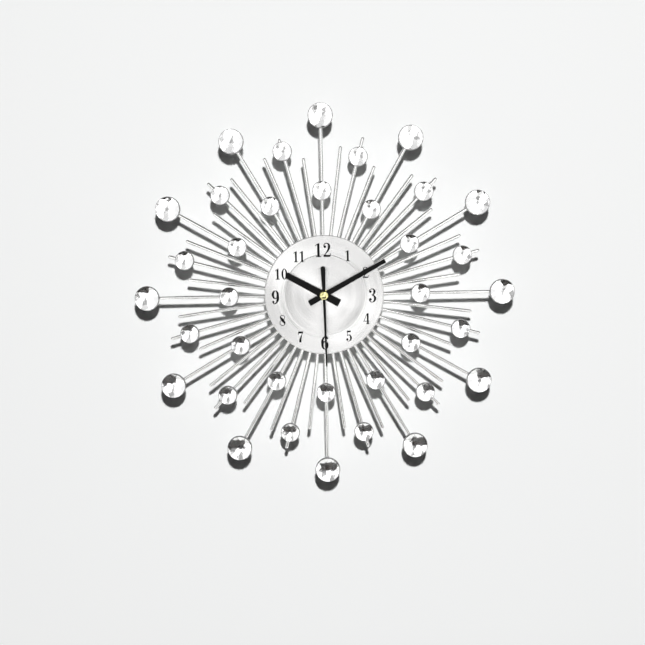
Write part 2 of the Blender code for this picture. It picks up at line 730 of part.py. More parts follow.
def battery(material):
    """One AA cell lying across the bay, with its positive end to +X."""
    shoulder = BATTERY_HALF_LENGTH - BATTERY_NIPPLE["height"]
    profile = (
        (0.0, -BATTERY_HALF_LENGTH),
        (BATTERY_RADIUS - 0.6, -BATTERY_HALF_LENGTH),
        (BATTERY_RADIUS, -BATTERY_HALF_LENGTH + 0.6),
        (BATTERY_RADIUS, shoulder - 0.6),
        (BATTERY_RADIUS - 0.6, shoulder),
        (BATTERY_NIPPLE["radius"], shoulder),
        (BATTERY_NIPPLE["radius"], BATTERY_HALF_LENGTH),
        (0.0, BATTERY_HALF_LENGTH),
    )
    bm = turned(profile, 24)
    lie_down = Matrix.Rotation(math.radians(-90.0), 4, "Z")
    bmesh.ops.transform(bm, matrix=lie_down.inverted(), verts=bm.verts)
    piece = link("battery", bm, material)
    piece.location = place(0.0, BATTERY_HEIGHT, BATTERY_DEPTH)


def contacts(material):
    """A plain leaf for the positive end and a bowed one for the negative end."""
    near = BATTERY_HALF_LENGTH + FIT
    far = near + CONTACT_LEAF
    bottom, top = BATTERY_HEIGHT - CONTACT_HALF_HEIGHT, BATTERY_HEIGHT + CONTACT_HALF_HEIGHT
    link("battery_contact_positive", prism(box(near, far, bottom, top), *CONTACT), material)
    bowed = [
        (near, bottom + CONTACT_BEND),
        (near, top - CONTACT_BEND),
        (far, top),
        (far + 0.35, top),
        (far, top - CONTACT_BEND),
        (far, bottom + CONTACT_BEND),
        (far + 0.35, bottom),
        (far, bottom),
    ]
    leaf = [(-x, z) for x, z in bowed]
    link("battery_contact_negative", prism(leaf, *CONTACT), material)


def clear_scene():
    for piece in list(bpy.data.objects):
        bpy.data.objects.remove(piece, do_unlink=True)


def main():
    clear_scene()
    steel = make_material("polished_steel", (0.78, 0.78, 0.78), 1.0, 0.18)
    aluminium = make_material("spun_aluminium", (0.88, 0.88, 0.88), 1.0, 0.28)
    glass = make_material("clear_crystal", (0.95, 0.95, 0.95), 0.0, 0.03, transmission=0.9)
    black = make_material("satin_black", (0.02, 0.02, 0.02), 0.0, 0.35)
    brass = make_material("brass", (0.86, 0.72, 0.36), 1.0, 0.2)
    rubber = make_material("black_rubber", (0.03, 0.03, 0.03), 0.0, 0.8)
    case_plastic = make_material("black_plastic", (0.035, 0.035, 0.035), 0.0, 0.5)
    cover_plastic = make_material("grey_plastic", (0.12, 0.12, 0.12), 0.0, 0.5)
    gear_plastic = make_material("white_acetal", (0.85, 0.85, 0.82), 0.0, 0.4)
    magnet = make_material("magnet_black", (0.08, 0.08, 0.09), 0.3, 0.4)
    iron = make_material("stator_iron", (0.5, 0.5, 0.5), 1.0, 0.35)
    copper = make_material("copper_wire", (0.7, 0.3, 0.13), 1.0, 0.3)
    board_green = make_material("board_green", (0.03, 0.2, 0.07), 0.0, 0.45)
    cell = make_material("cell_wrap", (0.05, 0.1, 0.3), 0.2, 0.35)
    spring = make_material("nickel_plate", (0.7, 0.7, 0.66), 1.0, 0.25)

    sunburst_frame(steel)
    crystals(glass)
    dial(aluminium)
    ring("rubber_washer", BUSH_CLEARANCE, WASHER_RADIUS, WASHER_BACK, WASHER_FRONT, 20, rubber)
    fixing_nut(brass)
    hour_and_minute_hands(black)
    second_hand(black)
    second_hand_cap(brass)
    seconds_wheel(gear_plastic)
    intermediate_wheel(gear_plastic)
    rotor(magnet)
    third_wheel(gear_plastic)
    centre_wheel(gear_plastic)
    minute_wheel(gear_plastic)
    hour_wheel(gear_plastic)
    setting_knob(gear_plastic)
    movement_case(case_plastic)
    movement_back_cover(cover_plastic)
    stator(iron)
    coil(copper)
    circuit_board(board_green)
    battery(cell)
    contacts(spring)


main()
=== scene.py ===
"""Looks of the sunburst wall clock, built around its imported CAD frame.

The frame has +Z up, the dial faces -Y and the wall is at y = 0. Sizes are in metres. Angles on
the clock run clockwise from 12, as the viewer sees it. "Front" is a distance off the wall.
"""
import math

import bmesh
import bpy
from mathutils import Matrix, Vector


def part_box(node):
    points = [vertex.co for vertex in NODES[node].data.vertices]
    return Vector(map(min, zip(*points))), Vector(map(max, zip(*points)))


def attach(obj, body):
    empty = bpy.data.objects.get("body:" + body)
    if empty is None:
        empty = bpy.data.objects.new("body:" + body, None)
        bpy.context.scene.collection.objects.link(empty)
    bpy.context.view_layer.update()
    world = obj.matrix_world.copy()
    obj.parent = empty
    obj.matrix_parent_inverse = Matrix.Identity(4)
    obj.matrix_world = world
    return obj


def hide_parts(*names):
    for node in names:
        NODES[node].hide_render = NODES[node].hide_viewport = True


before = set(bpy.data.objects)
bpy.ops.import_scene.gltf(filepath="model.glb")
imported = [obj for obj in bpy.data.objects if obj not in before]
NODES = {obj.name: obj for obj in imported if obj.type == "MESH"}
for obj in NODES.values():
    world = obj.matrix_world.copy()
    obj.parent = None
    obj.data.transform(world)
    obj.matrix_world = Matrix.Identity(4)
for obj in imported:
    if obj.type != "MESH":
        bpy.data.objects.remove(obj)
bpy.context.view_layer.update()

MM = 0.001

# Sunburst rods: every fourth one carries an hour's crystal, and those half-way between them a
# half-hour's. The plain rods' order is mirrored between MIRROR_START and MIRROR_END.
ROD_COUNT = 48
MIRROR_START = 24
MIRROR_END = 44
TIP_RINGS = 5
ROD_RADIUS = 1.75 * MM
ROD_SEGMENTS = 20
ROD_FRONT = 20.5 * MM
ROD_START = 38.0 * MM
LONG_ROD_END = 184.0 * MM
MEDIUM_ROD_END = 161.5 * MM
LONG_PLAIN_END = 149.0 * MM
SHORT_PLAIN_END = 138.0 * MM

# The disc that the rods are welded to
HUB_HOLE = 4.0 * MM
HUB_RADIUS = 50.0 * MM
HUB_BACK = 17.6 * MM
HUB_FRONT = 19.1 * MM

# Cups, and the weld beads behind them as length, width and height. WELD_ALONG is where they sit
# along the rod, in cup radii from the cup's middle.
CUP_WALL = 0.45 * MM
CUP_FLOOR_GAP = 0.3 * MM
CUP_FLOOR_THICKNESS = 0.8 * MM
LARGE_CUP_RIM = 1.65 * MM
SMALL_CUP_RIM = 1.25 * MM
LARGE_CUP_RADIUS = 12.5 * MM
SMALL_CUP_RADIUS = 9.6 * MM
WELD_BEAD = (2.6 * MM, 0.9 * MM, 0.6 * MM)
WELD_FRONT = 21.75 * MM
WELD_SIDE = 1.7 * MM
WELD_ALONG = (-0.55, 0.45)

# Crystals: how far out each row of facets starts, as a share of the radius, and how steep it is
GEM_INSET = 0.55 * MM
TABLE_SHARE = 0.16
WAIST_SHARE = 0.46
SHOULDER_SHARE = 0.76
INNER_TILT = 12.0
MIDDLE_TILT = 19.0
OUTER_TILT = 25.0

# Facets less than FLAT_JOIN degrees apart become one, and those that face the viewer less than
# -FOIL_NORMAL are silvered
FLAT_JOIN = 0.8
FOIL_NORMAL = -0.05

# Dial plate
DIAL_HOLE = 4.0 * MM
DIAL_DISH = 0.2 * MM
GROOVE_DEPTH = 0.05 * MM
ROLL_WIDTH = 0.9 * MM
ROLL_HEIGHT = 0.55 * MM

# Dial printing: the hour ring's half-width and half-height, and its middle. The photograph shows
# it a little flattened, and low on the dial.
HOUR_RING = (48.7 * MM, 46.6 * MM)
HOUR_RING_CENTRE = (-0.2 * MM, -1.5 * MM)
LARGE_FIGURE = 14.0 * MM
SMALL_FIGURE = 11.0 * MM
INK = 0.05 * MM

# Hands: angle at rest, then length, tail, root width and tip width of the straight ones
HOUR_ANGLE = 299.2
HOUR_HAND = (42.6 * MM, 17.4 * MM, 7.6 * MM, 6.0 * MM)
MINUTE_ANGLE = 61.6
MINUTE_HAND = (70.0 * MM, 17.0 * MM, 5.7 * MM, 4.1 * MM)
HAND_CHAMFER = 0.3 * MM
SECOND_ANGLE = 179.0
SECOND_HAND = (71.5 * MM, 29.0 * MM)
SECOND_CHAMFER = 0.2 * MM
COUNTERWEIGHT_RADIUS = 2.4 * MM

# Camera: where it stands round the dial, and the point it looks at
CAMERA_DISTANCE = 1.2
CAMERA_AZIMUTH = 1.1
CAMERA_ELEVATION = 4.3
CAMERA_ROLL = -1.25
CAMERA_AIM = (-0.0022, -0.0277)
SENSOR = 36.0
FOCAL_LENGTH = 66.8

# Stage. The world is a pale background for the camera alone, and lights nothing.
WALL_GAP = 0.4 * MM
WALL_SIZE = (8.0, 4.0)
FLOOR_SIZE = (8.0, 8.0)
FLOOR_HEIGHT = -1.0
WORLD_COLOUR = (0.97, 1.0, 0.99, 1.0)
WORLD_STRENGTH = 0.85

# Painted light: the wall's paint is a little lighter low down, where the key lamp is further
# away, so that the wall looks evenly lit. It fades between these heights above the wall's
# middle.
PAINTED_LIGHT_FADE = (-1.35, -0.65)
LOW_PAINT_PAINTED_LIGHTER = (0.955, 0.961, 0.958)
HIGH_PAINT = (0.85, 0.856, 0.853)

# A dark card below the lens, which the lower stones reflect
FLAG_SIZE = (0.8, 0.42)
FLAG_PLACE = (-0.05, -0.91, -0.525)
FLAG_TILT = -57.8

# The key lamp lights the wall and throws the shadows; its brightness doesn't fall with distance
KEY_PLACE = (0.1, -1.5, 0.724)
KEY_RADIUS = 0.05
KEY_STRENGTH = 42.3

# Lamps as width, height, power and place: one lifts the shadows, one lights the movement's back
FILL_LAMP = (3.0, 2.0, 3.2, (0.0, -2.6, 0.6))
BACK_LAMP = (1.0, 1.0, 14.0, (-0.9, 1.2, 0.6))

# Panels that show only in metal and stones: name, width, height, brightness, x, y, z, and their
# turn, anticlockwise to the camera
REFLECTED_PANELS = (
    ("front", 5.0, 2.1, 0.25, 0.0, -1.6, 0.18, 0.0),
    ("left", 2.1, 2.1, 0.8, -1.45, -1.59, 0.18, 0.0),
    ("right", 2.1, 2.1, 0.8, 1.45, -1.59, 0.18, 0.0),
    ("upper", 0.8, 0.9, 0.42, 0.0, -1.59, 0.78, 0.0),
    ("fan", 0.4, 2.4, 1.25, -0.03, -1.5, -0.13, -24.0),
    ("streak", 2.4, 0.16, 0.35, -0.03, -1.48, -0.13, 15.0),
)


# --- Materials -------------------------------------------------------------------------------


class Shader:
    """A material's node tree, with short calls to add nodes and join them."""

    def __init__(self, name, colour, metallic=0.0, roughness=0.5, **sockets):
        self.material = bpy.data.materials.new(name)
        self.material.use_nodes = True
        self.nodes = self.material.node_tree.nodes
        self.links = self.material.node_tree.links
        self.shader = self.nodes["Principled BSDF"]
        self.set("Base Color", (*colour, 1.0))
        self.set("Metallic", metallic)
        self.set("Roughness", roughness)
        for socket, value in sockets.items():
            self.set(socket.replace("_", " "), value)
        self.material.diffuse_color = (*colour, 1.0)

    def set(self, socket, value):
        self.shader.inputs[socket].default_value = value

    def add(self, kind, **values):
        node = self.nodes.new(kind)
        for key, value in values.items():
            if key in node.inputs:
                node.inputs[key].default_value = value
            else:
                setattr(node, key, value)
        return node

    def place(self):
        """Object coordinates, in metres."""
        return self.add("ShaderNodeTexCoord").outputs["Object"]

    def noise(self, vector, scale, detail=3.0, roughness=0.5, stretch=None):
        """A noise pattern, with scale in repeats per metre."""
        if stretch:
            mapping = self.add("ShaderNodeMapping")
            mapping.inputs["Scale"].default_value = stretch
            self.links.new(vector, mapping.inputs["Vector"])
            vector = mapping.outputs["Vector"]
        node = self.add("ShaderNodeTexNoise", Scale=scale, Detail=detail, Roughness=roughness)
        self.links.new(vector, node.inputs["Vector"])
        return node.outputs["Fac"]

    def spread(self, value, low, high, start=0.0, end=1.0):
        """Maps a pattern's start to end onto low to high."""
        node = self.add("ShaderNodeMapRange")
        limits = {"From Min": start, "From Max": end, "To Min": low, "To Max": high}
        for socket, number in limits.items():
            node.inputs[socket].default_value = number
        self.links.new(value, node.inputs["Value"])
        return node.outputs["Result"]

    def mix(self, factor, first, second):
        """A colour between two, by a pattern."""
        node = self.add("ShaderNodeMix", data_type="RGBA")
        node.inputs["A"].default_value = (*first, 1.0)
        node.inputs["B"].default_value = (*second, 1.0)
        self.links.new(factor, node.inputs["Factor"])
        return node.outputs["Result"]

    def bump(self, height, strength, distance):
        node = self.add("ShaderNodeBump", Strength=strength, Distance=distance)
        self.links.new(height, node.inputs["Height"])
        self.links.new(node.outputs["Normal"], self.shader.inputs["Normal"])

    def drive(self, socket, value):
        self.links.new(value, self.shader.inputs[socket])

    def rings(self, scale, detail, roughness=0.5):
        """A noise pattern that changes only with the distance from the hands' axis."""
        split = self.add("ShaderNodeSeparateXYZ")
        self.links.new(self.place(), split.inputs["Vector"])
        flat = self.add("ShaderNodeCombineXYZ")
        self.links.new(split.outputs["X"], flat.inputs["X"])
        self.links.new(split.outputs["Z"], flat.inputs["Z"])
        length = self.add("ShaderNodeVectorMath", operation="LENGTH")
        self.links.new(flat.outputs["Vector"], length.inputs[0])
        node = self.add("ShaderNodeTexNoise", noise_dimensions="1D",
                        Scale=scale, Detail=detail, Roughness=roughness)
        self.links.new(length.outputs["Value"], node.inputs["W"])
        return node.outputs["Fac"]


def polished_steel():
    """Nickel-plated steel: a bright polish with faint draw marks and cloudy patches."""
    look = Shader("polished_steel", (0.9, 0.9, 0.89), 1.0, 0.13)
    cloud = look.noise(look.place(), 70.0, 4.0)
    look.drive("Roughness", look.spread(cloud, 0.07, 0.2, 0.3, 0.7))
    fine = look.noise(look.place(), 900.0, 2.0)
    look.drive("Base Color", look.mix(fine, (0.86, 0.86, 0.85), (0.94, 0.94, 0.93)))
    look.bump(look.noise(look.place(), 420.0, 3.0), 0.05, 0.0002)
    return look.material


def plated_plate():
    """Zinc-plated sheet: duller than the rods, with a crystalline mottle."""
    look = Shader("plated_plate", (0.62, 0.62, 0.62), 1.0, 0.32)
    mottle = look.noise(look.place(), 160.0, 5.0, 0.65)
    look.drive("Roughness", look.spread(mottle, 0.22, 0.45, 0.3, 0.7))
    look.drive("Base Color", look.mix(mottle, (0.52, 0.53, 0.54), (0.72, 0.72, 0.71)))
    look.bump(look.noise(look.place(), 1200.0, 2.0), 0.1, 0.00005)
    return look.material


def nickel_cup():
    """Nickel plate, made darker than the rods as painted shade for the dark outline round each
    cup's rim.
    """
    look = Shader("nickel_cup", (0.36, 0.36, 0.36), 1.0, 0.22)
    cup_mottle = look.noise(look.place(), 300.0, 4.0)
    look.drive("Roughness", look.spread(cup_mottle, 0.14, 0.34, 0.3, 0.7))
    # Both tones are kept dark: painted shade standing for the dim reflections on the cups' rims
    look.drive("Base Color", look.mix(cup_mottle, (0.26, 0.26, 0.27), (0.46, 0.46, 0.45)))
    look.bump(look.noise(look.place(), 900.0, 2.0), 0.06, 0.0001)
    return look.material


def spun_aluminium():
    """Spun sheet: very fine grooves round the centre stretch each reflection into fans."""
    look = Shader("spun_aluminium", (0.775, 0.77, 0.765), 1.0, 0.2, Anisotropic=0.98)
    tangent = look.add("ShaderNodeTangent", direction_type="RADIAL", axis="Y")
    look.drive("Tangent", tangent.outputs["Tangent"])
    groove = look.rings(2600.0, 4.0, 0.7)
    look.drive("Roughness", look.spread(look.rings(180.0, 3.0, 0.6), 0.2, 0.28, 0.3, 0.7))
    look.drive("Base Color", look.mix(groove, (0.755, 0.75, 0.745), (0.795, 0.79, 0.785)))
    look.bump(groove, 0.2, 0.00003)
    return look.material


def clear_crystal():
    """Clear acrylic. Its detail is the foil and the facets that show through it."""
    look = Shader("clear_crystal", (1.0, 1.0, 1.0), 0.0, 0.0, IOR=1.49, Transmission_Weight=1.0)
    return look.material


def foil():
    """The silvering on a stone's back and girdle."""
    look = Shader("crystal_foil", (0.95, 0.95, 0.95), 1.0, 0.06)
    crease = look.noise(look.place(), 240.0, 3.0)
    look.bump(crease, 0.12, 0.0002)
    return look.material


def satin_black():
    """Baked black paint with a slight orange peel and a soft sheen."""
    look = Shader("satin_black", (0.004, 0.004, 0.004), 0.0, 0.4, Specular_IOR_Level=0.12)
    peel = look.noise(look.place(), 1500.0, 2.0)
    look.drive("Roughness", look.spread(look.noise(look.place(), 300.0), 0.34, 0.48, 0.3, 0.7))
    look.bump(peel, 0.12, 0.00003)
    return look.material


def printing_ink():
    """Screen-printed black ink, matt and slightly uneven."""
    look = Shader("printing_ink", (0.004, 0.004, 0.004), 0.0, 0.5, Specular_IOR_Level=0.1)
    speckle = look.noise(look.place(), 2500.0)
    look.drive("Base Color", look.mix(speckle, (0.002, 0.002, 0.002), (0.008, 0.008, 0.008)))
    return look.material


def brass():
    """Lacquered brass turned on a lathe."""
    look = Shader("turned_brass", (0.86, 0.81, 0.4), 1.0, 0.16)
    turning = look.rings(5000.0, 2.0)
    tarnish = look.noise(look.place(), 500.0)
    look.drive("Roughness", look.spread(turning, 0.1, 0.24, 0.3, 0.7))
    look.drive("Base Color", look.mix(tarnish, (0.82, 0.76, 0.3), (0.92, 0.88, 0.5)))
    look.bump(turning, 0.06, 0.00001)
    return look.material


def moulding(name, dark, light, roughness, grain=2200.0):
    """Injection-moulded plastic with a spark-eroded grain."""
    look = Shader(name, dark, 0.0, roughness)
    spark = look.noise(look.place(), grain, 2.0)
    look.drive("Base Color", look.mix(look.noise(look.place(), 120.0, 4.0), dark, light))
    look.drive("Roughness", look.spread(spark, roughness - 0.06, roughness + 0.08, 0.3, 0.7))
    look.bump(spark, 0.25, 0.00004)
    return look.material


def sheet_metal(name, dark, light, roughness, stretch):
    """Rolled or stamped metal with a grain along one way."""
    look = Shader(name, dark, 1.0, roughness)
    grain = look.noise(look.place(), 500.0, 4.0, 0.6, stretch)
    look.drive("Base Color", look.mix(grain, dark, light))
    look.drive("Roughness", look.spread(grain, roughness - 0.07, roughness + 0.1, 0.3, 0.7))
    look.bump(grain, 0.08, 0.00003)
    return look.material


def copper_winding():
    """Fine enamelled wire: rings along the coil's length."""
    look = Shader("copper_winding", (0.72, 0.32, 0.14), 1.0, 0.28)
    wave = look.add("ShaderNodeTexWave", Scale=1500.0, bands_direction="Z", Distortion=0.4)
    look.links.new(look.place(), wave.inputs["Vector"])
    look.drive("Base Color", look.mix(wave.outputs["Fac"], (0.42, 0.16, 0.06), (0.8, 0.4, 0.2)))
    look.bump(wave.outputs["Fac"], 0.4, 0.00005)
    return look.material


def lacquered_board():
    """Green board with a faint glass weave under the lacquer."""
    look = Shader("lacquered_board", (0.02, 0.16, 0.06), 0.0, 0.35, Coat_Weight=0.3)
    weave = look.noise(look.place(), 900.0, 2.0, 0.5, (1.0, 1.0, 4.0))
    look.drive("Base Color", look.mix(weave, (0.015, 0.13, 0.045), (0.03, 0.2, 0.08)))
    look.bump(weave, 0.1, 0.00003)
    return look.material


def cell_wrap():
    """Printed film shrunk onto the cell."""
    look = Shader("cell_wrap", (0.03, 0.07, 0.22), 0.25, 0.3, Coat_Weight=0.5)
    print_tone = look.noise(look.place(), 150.0)
    look.drive("Base Color", look.mix(print_tone, (0.025, 0.06, 0.2), (0.035, 0.085, 0.25)))
    look.bump(look.noise(look.place(), 260.0, 3.0), 0.06, 0.0002)
    return look.material


STEEL = polished_steel()
PLATE = plated_plate()
CUP_PAINTED_SHADE = nickel_cup()
ALUMINIUM = spun_aluminium()
CRYSTAL = clear_crystal()
FOIL = foil()
BLACK = satin_black()
INK_BLACK = printing_ink()
BRASS = brass()
RUBBER = moulding("black_rubber", (0.02, 0.02, 0.02), (0.035, 0.035, 0.034), 0.78, 1600.0)
CASE_PLASTIC = moulding("case_plastic", (0.025, 0.025, 0.026), (0.04, 0.04, 0.041), 0.48)
COVER_PLASTIC = moulding("cover_plastic", (0.07, 0.07, 0.072), (0.1, 0.1, 0.102), 0.46)
KNOB_PLASTIC = moulding("knob_plastic", (0.8, 0.8, 0.76), (0.88, 0.88, 0.84), 0.36)
GEAR_PLASTIC = moulding("gear_plastic", (0.82, 0.82, 0.78), (0.88, 0.88, 0.85), 0.32, 3000.0)
MAGNET = sheet_metal(
    "rotor_magnet", (0.07, 0.07, 0.08), (0.13, 0.13, 0.14), 0.42, (1.0, 1.0, 1.0))
IRON = sheet_metal(
    "stator_iron", (0.42, 0.42, 0.42), (0.58, 0.58, 0.57), 0.34, (1.0, 1.0, 12.0))
NICKEL = sheet_metal(
    "nickel_plate", (0.62, 0.61, 0.57), (0.76, 0.75, 0.7), 0.24, (1.0, 1.0, 10.0))
CELL_METAL = sheet_metal(
    "cell_ends", (0.66, 0.66, 0.65), (0.8, 0.8, 0.79), 0.26, (1.0, 12.0, 1.0))
COPPER = copper_winding()
BOARD = lacquered_board()
WRAP = cell_wrap()


# --- Shapes ----------------------------------------------------------------------------------


def point(x, z, front):
    """A point from its place on the dial's plane and its distance off the wall."""
    return Vector((x, -front, z))


def polar(radius, degrees):
    """x and z at a clock angle."""
    turn = math.radians(degrees)
    return radius * math.sin(turn), radius * math.cos(turn)


def finish_piece(name, bm, materials, body, nodes=(), crease=30.0):
    """Makes a piece that rides on a body, with round parts smooth and edges sharp."""
    bmesh.ops.recalc_face_normals(bm, faces=bm.faces)
    mesh = bpy.data.meshes.new(name)
    bm.to_mesh(mesh)
    bm.free()
    if crease:
        mesh.shade_smooth()
        mesh.set_sharp_from_angle(angle=math.radians(crease))
    for material in materials:
        mesh.materials.append(material)
    piece = bpy.data.objects.new(name, mesh)
    bpy.context.scene.collection.objects.link(piece)
    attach(piece, body)
    if nodes:
        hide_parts(*nodes)
    return piece


def skin(bm, first, second, closed=True):
    """Faces between two rings of vertices, either of which may be one point."""
    count = max(len(first), len(second))
    made = []
    for i in range(count if closed else count - 1):
        j = (i + 1) % count
        a = (first[0],) if len(first) == 1 else (first[i], first[j])
        b = (second[0],) if len(second) == 1 else (second[j], second[i])
        made.append(bm.faces.new(a + b))
    return made


def turn_profile(bm, profile, segments, centre=(0.0, 0.0)):
    """Adds a solid of revolution about an axis along Y from (radius, front) points."""
    rings = []
    for radius, front in profile:
        if radius == 0.0:
            rings.append([bm.verts.new(point(centre[0], centre[1], front))])
            continue
        ring = []
        for i in range(segments):
            x, z = polar(radius, 360.0 * i / segments)
            ring.append(bm.verts.new(point(centre[0] + x, centre[1] + z, front)))
        rings.append(ring)
    closed_by_axis = profile[0][0] == 0.0
    count = len(rings) - 1 if closed_by_axis else len(rings)
    return [skin(bm, rings[i], rings[(i + 1) % len(rings)]) for i in range(count)]


def rounded(corners, radius, steps=4):
    """A profile's corners, each eased by an arc. Corners are (radius, front) points."""
    points = []
    for i, corner in enumerate(corners):
        here, before = Vector(corner), Vector(corners[i - 1])
        after = Vector(corners[(i + 1) % len(corners)])
        reach = min(radius, (before - here).length / 2.2, (after - here).length / 2.2)
        start = here + (before - here).normalized() * reach
        end = here + (after - here).normalized() * reach
        for k in range(steps + 1):
            t = k / steps
            points.append(tuple(start * (1 - t) ** 2 + here * 2 * t * (1 - t) + end * t ** 2))
    return points


# --- Sunburst --------------------------------------------------------------------------------


def quarter_arc(steps, last=True):
    """Angles from 0 to a right angle, with or without the right angle itself."""
    return [math.pi / 2 * k / steps for k in range(steps + 1 if last else steps)]


def rod_end(index):
    """Hour rods are long, half-hour rods medium, and the plain ones alternate."""
    if index % 4 == 0:
        return LONG_ROD_END
    if index % 4 == 2:
        return MEDIUM_ROD_END
    after_hour = index % 4 == 1
    mirrored = MIRROR_START <= index < MIRROR_END
    return LONG_PLAIN_END if after_hour != mirrored else SHORT_PLAIN_END


def add_rod(bm, index):
    """A round rod along its radius with a domed tip."""
    end = rod_end(index)
    stations = [(ROD_START, 1.0)]
    for turn in quarter_arc(TIP_RINGS, last=False):
        stations.append((end - ROD_RADIUS * (1 - math.sin(turn)), math.cos(turn)))
    x, z = polar(1.0, 360.0 * index / ROD_COUNT)
    out = Vector((x, 0.0, z))
    side = Vector((out.z, 0.0, -out.x))
    toward = Vector((0.0, -1.0, 0.0))
    rings = []
    for along, share in stations:
        middle = out * along + toward * ROD_FRONT
        ring = []
        for i in range(ROD_SEGMENTS):
            turn = 2 * math.pi * i / ROD_SEGMENTS
            offset = (side * math.cos(turn) + toward * math.sin(turn)) * ROD_RADIUS * share
            ring.append(bm.verts.new(middle + offset))
        rings.append(ring)
    for first, second in zip(rings, rings[1:]):
        skin(bm, first, second)
    bm.faces.new(rings[0])
    skin(bm, rings[-1], [bm.verts.new(out * end + toward * ROD_FRONT)])


def crystal_centre(node):
    """The middle of a crystal on the dial's plane."""
    low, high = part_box(node)
    return (low.x + high.x) / 2, (low.z + high.z) / 2


def crystal_nodes(kind):
    return [f"{kind}_crystal_{number:02d}" for number in range(1, 13)]


def add_cup(bm, node, radius):
    """A pressed cup: flat back, thin upright wall, rolled rim."""
    floor = -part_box(node)[1].y - CUP_FLOOR_GAP
    back = floor - CUP_FLOOR_THICKNESS
    rim = floor + (LARGE_CUP_RIM if radius == LARGE_CUP_RADIUS else SMALL_CUP_RIM)
    inner = radius - CUP_WALL
    corners = [(radius, back), (radius, rim), (inner, rim), (inner, floor)]
    profile = [(0.0, back), *rounded(corners, 0.22 * MM, 3), (0.0, floor)]
    turn_profile(bm, profile, 48, crystal_centre(node))


def add_weld(bm, node, radius):
    """The small beads that join a cup's back to its rod, on the rod's two sides."""
    x, z = crystal_centre(node)
    out = Vector((x, 0.0, z)).normalized()
    side = Vector((out.z, 0.0, -out.x))
    basis = Matrix((out, side, Vector((0.0, 1.0, 0.0)))).transposed().to_4x4()
    for along in WELD_ALONG:
        for sign in (-1, 1):
            spot = point(x, z, WELD_FRONT) + out * radius * along + side * sign * WELD_SIDE
            place = Matrix.Translation(spot) @ basis @ Matrix.Diagonal((*WELD_BEAD, 1.0))
            bmesh.ops.create_icosphere(bm, subdivisions=2, radius=1.0, matrix=place)


def build_sunburst():
    rods = bmesh.new()
    for index in range(ROD_COUNT):
        add_rod(rods, index)
    finish_piece("rods", rods, [STEEL], "clock", ["sunburst_frame"])

    hub = bmesh.new()
    corners = [
        (HUB_HOLE, HUB_BACK),
        (HUB_RADIUS, HUB_BACK),
        (HUB_RADIUS, HUB_FRONT),
        (HUB_HOLE, HUB_FRONT),
    ]
    turn_profile(hub, rounded(corners, 0.3 * MM, 3), 128)
    finish_piece("hub_disc", hub, [PLATE], "clock", ["sunburst_frame"])

    for name, kinds, radius in (
        ("large_cups", ("large",), LARGE_CUP_RADIUS),
        ("small_cups", ("inner", "outer"), SMALL_CUP_RADIUS),
    ):
        cups = bmesh.new()
        welds = bmesh.new()
        for kind in kinds:
            for node in crystal_nodes(kind):
                add_cup(cups, node, radius)
                add_weld(welds, node, radius)
        finish_piece(name, cups, [CUP_PAINTED_SHADE], "clock", ["sunburst_frame"])
        finish_piece(
            f"{name}_welds", welds, [PLATE], "clock", ["sunburst_frame"])


def add_gem(bm, centre, radius, back, front, spin):
    """A flat-backed stone: a small table, then three rows of facets, ever steeper."""
    def drop(start, end, tilt):
        return (end - start) * radius * math.tan(math.radians(tilt))

    waist = front - drop(TABLE_SHARE, WAIST_SHARE, INNER_TILT)
    shoulder = waist - drop(WAIST_SHARE, SHOULDER_SHARE, MIDDLE_TILT)
    girdle = shoulder - drop(SHOULDER_SHARE, 1.0, OUTER_TILT)
    rows = (
        (1.0, 16, 0.0, back),
        (1.0, 16, 0.0, girdle),
        (SHOULDER_SHARE, 8, 0.5, shoulder),
        (WAIST_SHARE, 8, 0.0, waist),
        (TABLE_SHARE, 8, 0.5, front),
    )
    for share, count, offset, level in rows:
        for i in range(count):
            x, z = polar(radius * share, spin + 360.0 * (i + offset) / count)
            bm.verts.new(point(centre[0] + x, centre[1] + z, level))
    bmesh.ops.convex_hull(bm, input=bm.verts)
    flat = math.radians(FLAT_JOIN)
    bmesh.ops.dissolve_limit(bm, angle_limit=flat, verts=bm.verts, edges=bm.edges)


def build_gems():
    """Clear stones, silvered on the back and round the girdle, each turned differently."""
    for kind in ("large", "inner", "outer"):
        radius = (LARGE_CUP_RADIUS if kind == "large" else SMALL_CUP_RADIUS) - GEM_INSET
        for number, node in enumerate(crystal_nodes(kind)):
            low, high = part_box(node)
            gem = bmesh.new()
            spin = 30.0 * (number + 1) + (7.0 * number) % 22.5
            add_gem(gem, crystal_centre(node), radius, -high.y, -low.y, spin)
            name = node.replace("crystal", "stone")
            piece = finish_piece(
                name, gem, [CRYSTAL, FOIL], "clock", [node], crease=0.0)
            for face in piece.data.polygons:
                face.material_index = 1 if face.normal.y > FOIL_NORMAL else 0


# --- Dial and numerals -----------------------------------------------------------------------


def build_dial():
    """Spun sheet: a flat middle, a coined ring, a flat hour band and a rolled edge."""
    low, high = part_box("dial")
    back, band = -high.y, -low.y
    edge = high.x
    middle = band - DIAL_DISH
    roll = [
        (edge - ROLL_WIDTH * (1 - math.sin(t)), back + 0.25 * MM + ROLL_HEIGHT * math.cos(t))
        for t in reversed(quarter_arc(8))
    ]
    profile = [
        (DIAL_HOLE, back),
        (edge - 0.5 * MM, back),
        (edge - 0.1 * MM, back + 0.08 * MM),
        *roll,
        (edge - 2.2 * MM, band - 0.02 * MM),
        (edge - 3.4 * MM, band),
        (41.0 * MM, band),
        (40.4 * MM, band - 0.03 * MM),
        (39.9 * MM, middle - GROOVE_DEPTH),
        (39.4 * MM, middle - GROOVE_DEPTH),
        (38.8 * MM, middle),
        (DIAL_HOLE, middle),
    ]
    bm = bmesh.new()
    turn_profile(bm, profile, 256)
    finish_piece("dial_plate", bm, [ALUMINIUM], "clock", ["dial"], crease=50.0)
    return band


